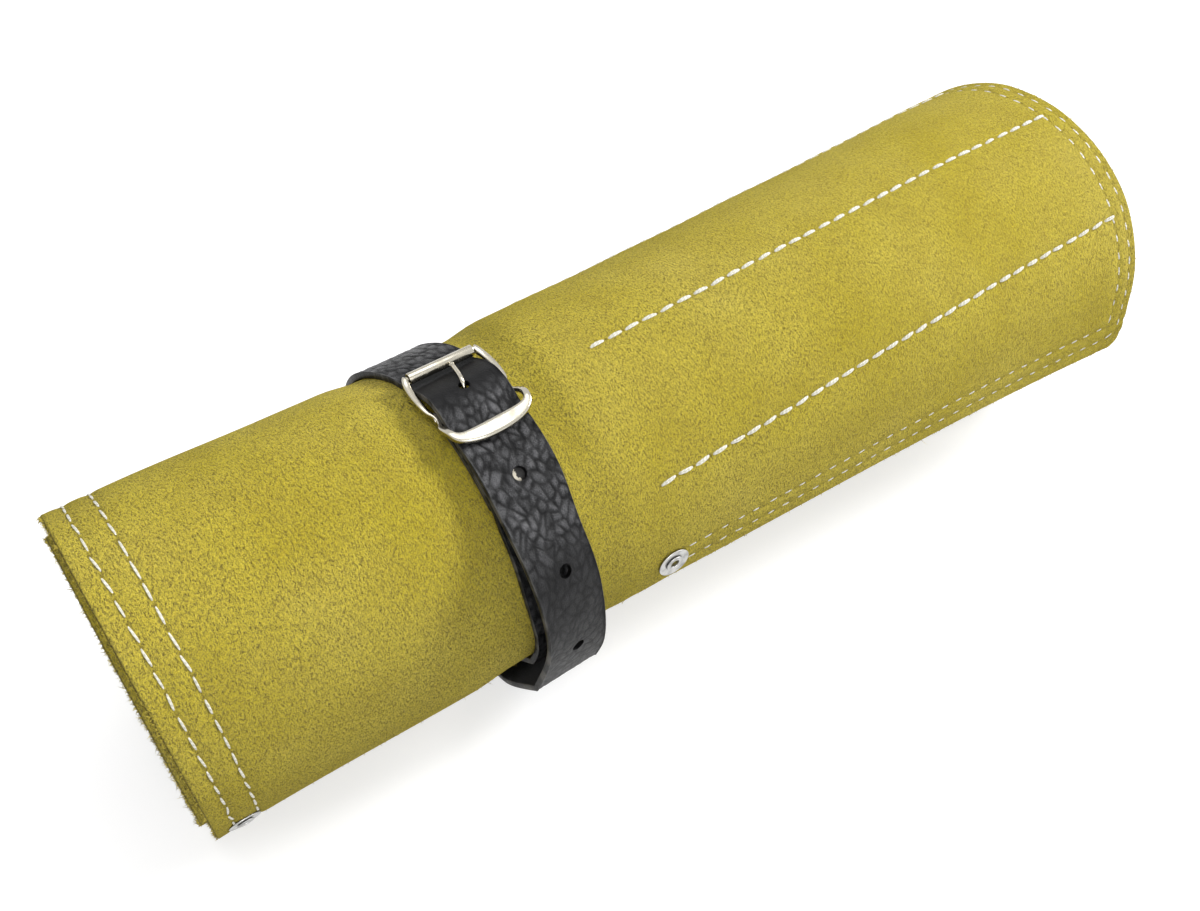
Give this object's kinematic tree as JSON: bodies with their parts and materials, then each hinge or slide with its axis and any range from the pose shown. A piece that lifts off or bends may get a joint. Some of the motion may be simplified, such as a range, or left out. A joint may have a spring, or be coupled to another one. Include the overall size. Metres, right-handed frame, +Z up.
{
  "type": "tool roll",
  "caption": "Rolled suede tool roll with sewn pocket and flap panels inside, held shut by a leather strap and roller buckle.",
  "frame": {"origin": "on the surface it lies on, under the middle of the bounding box", "axes": "+X along the roll towards its wide right end, -Y the front with the free edge and the strap's tail, +Z up"},
  "size_m": [0.3068, 0.1042, 0.097],
  "materials": {
    "suede": "napped suede",
    "strap_leather": "pebbled, semi-matt",
    "nickel": "polished nickel plate",
    "zinc": "satin zinc plate"
  },
  "bodies": {
    "roll": {"back_panel": "suede", "pocket_panel": "suede", "flap_panel": "suede", "strap": "strap_leather", "mouth_rivet_outer": "zinc", "mouth_washer_outer": "zinc", "mouth_rivet_inner": "zinc", "mouth_washer_inner": "zinc", "flap_rivet_outer": "zinc", "flap_washer_outer": "zinc", "flap_rivet_inner": "zinc", "flap_washer_inner": "zinc", "fold_rivet": "zinc", "anchor_rivet": "zinc", "anchor_washer": "zinc"},
    "buckle": {"buckle_frame": "nickel", "centre_bar": "nickel"},
    "prong": {"prong": "nickel"},
    "roller": {"buckle_roller": "nickel"},
    "tail": {"strap_tail": "strap_leather"}
  },
  "joints": [
    {"name": "buckle_rock", "type": "hinge", "parent": "roll", "child": "buckle", "pos_m": [-0.05881, -0.00312, 0.08786], "axis": [1, 0, 0], "range_deg": [-1, 2]},
    {"name": "prong_swing", "type": "hinge", "parent": "buckle", "child": "prong", "pos_m": [-0.05881, -0.00312, 0.08786], "axis": [1, 0, 0], "range_deg": [0, 8]},
    {"name": "roller_spin", "type": "hinge", "parent": "buckle", "child": "roller", "pos_m": [-0.05881, 0.01142, 0.08963], "axis": [1, 0, 0], "continuous": true},
    {"name": "tail_lift", "type": "hinge", "parent": "roll", "child": "tail", "pos_m": [-0.05881, -0.01778, 0.08519], "axis": [-1, 0, 0], "range_deg": [0, 50]}
  ]
}
